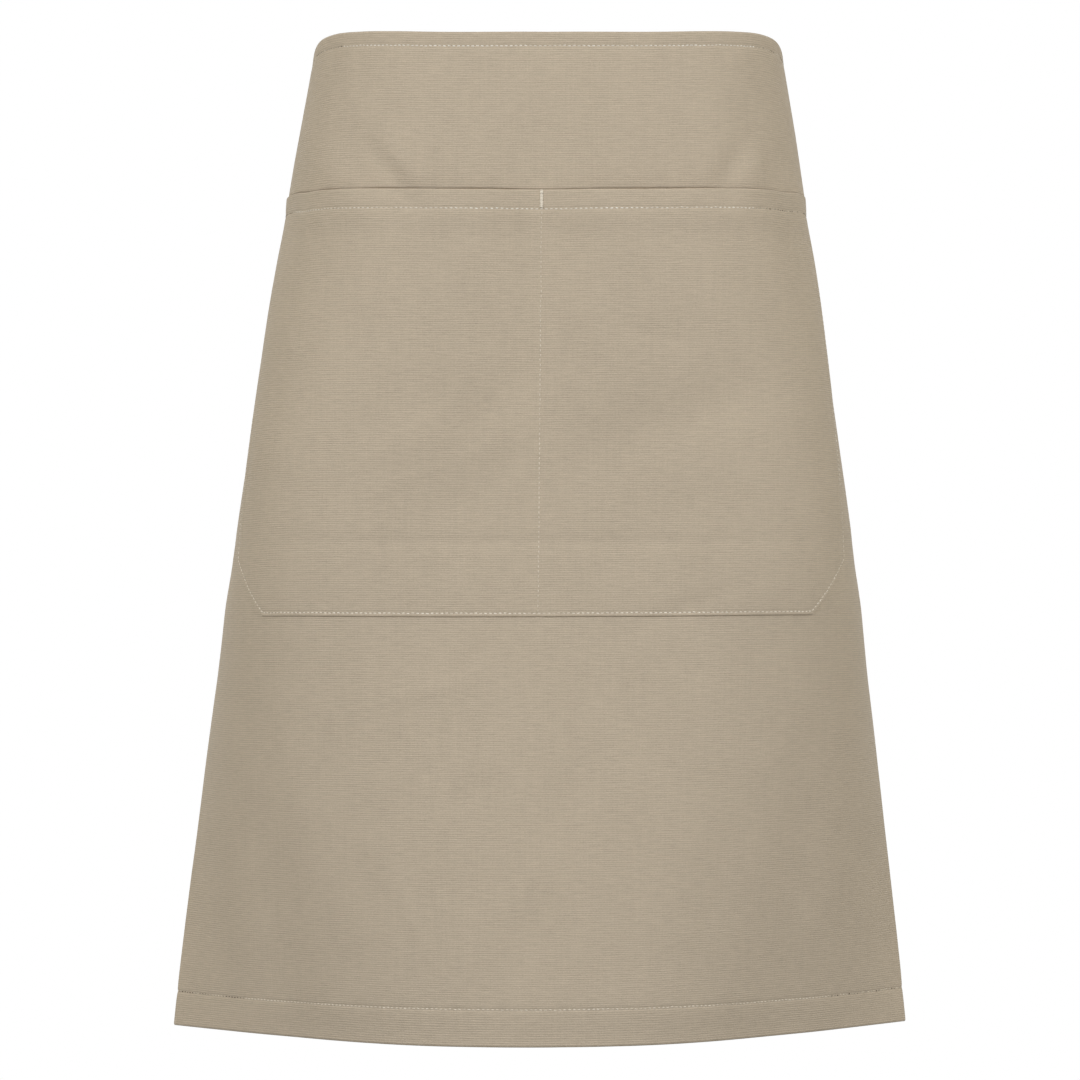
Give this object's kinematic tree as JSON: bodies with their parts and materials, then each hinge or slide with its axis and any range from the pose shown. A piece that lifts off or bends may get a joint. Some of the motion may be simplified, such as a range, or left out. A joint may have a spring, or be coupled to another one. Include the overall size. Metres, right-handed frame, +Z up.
{
  "type": "waist apron",
  "caption": "Waist apron of natural cotton canvas in its worn form: hemmed panel, two-compartment patch pocket across the front, and ties knotted behind.",
  "frame": {"origin": "middle of the waist opening, level with the panel's top edge at the front", "axes": "+Z up, -Y to the front, +X to the right when the front is looked at"},
  "size_m": [0.4544, 0.2309, 0.605],
  "materials": {
    "panel_canvas": "matt ribbed cotton canvas",
    "pocket_canvas": "matt ribbed cotton canvas",
    "hem_canvas": "matt folded cotton canvas",
    "tie_canvas": "matt folded cotton canvas",
    "thread": "matt pale sewing thread"
  },
  "bodies": {
    "root": {"front_panel": "panel_canvas", "waist_hem": "hem_canvas", "bottom_hem": "hem_canvas", "left_side_hem": "hem_canvas", "right_side_hem": "hem_canvas", "pocket_panel": "pocket_canvas", "pocket_mouth_hem": "hem_canvas", "pocket_bar_tack": "thread", "left_tie": "tie_canvas", "right_tie": "tie_canvas", "tie_knot": "tie_canvas", "left_tie_tail": "tie_canvas", "right_tie_tail": "tie_canvas"}
  },
  "joints": []
}
